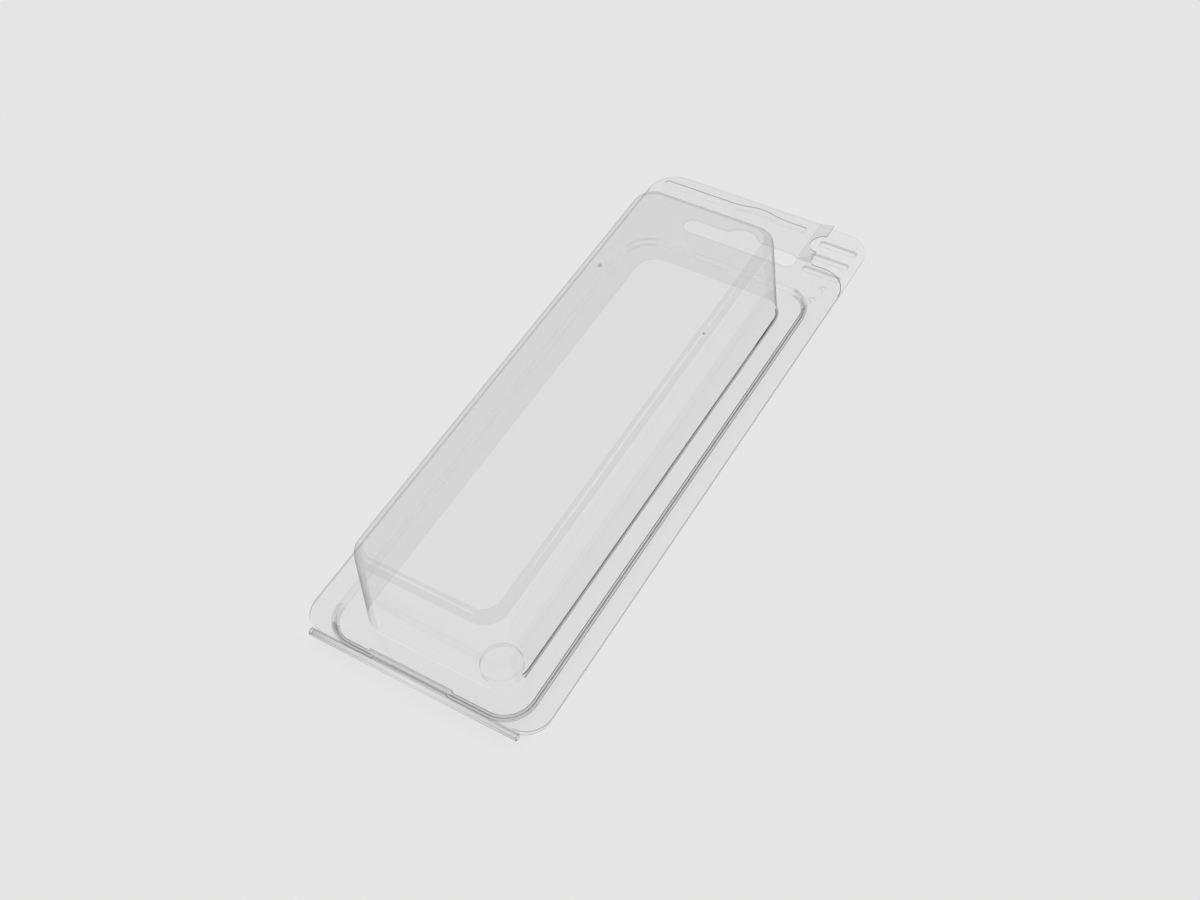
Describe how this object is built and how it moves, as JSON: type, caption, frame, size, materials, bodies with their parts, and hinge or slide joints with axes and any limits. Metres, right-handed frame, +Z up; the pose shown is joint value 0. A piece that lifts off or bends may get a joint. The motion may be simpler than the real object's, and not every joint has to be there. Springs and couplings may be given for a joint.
{
  "type": "clamshell blister pack",
  "caption": "Clear thermoformed clamshell pack with a deep rounded blister, a stepped flange, a hang slot and a living hinge.",
  "frame": {"origin": "on the table, under the middle of the closed pack", "axes": "+X across the pack, +Y from the hinge to the hang tab, +Z up out of the blister"},
  "size_m": [0.062, 0.1631, 0.0265],
  "materials": {
    "clear_film": "clear glossy plastic film"
  },
  "bodies": {
    "back": {"back_half": "clear_film", "living_hinge": "clear_film"},
    "front": {"front_half": "clear_film"}
  },
  "joints": [
    {"name": "living_hinge_fold", "type": "hinge", "parent": "back", "child": "front", "pos_m": [0, -0.08065, 0.0023], "axis": [1, 0, 0], "range_deg": [0, 180]}
  ]
}
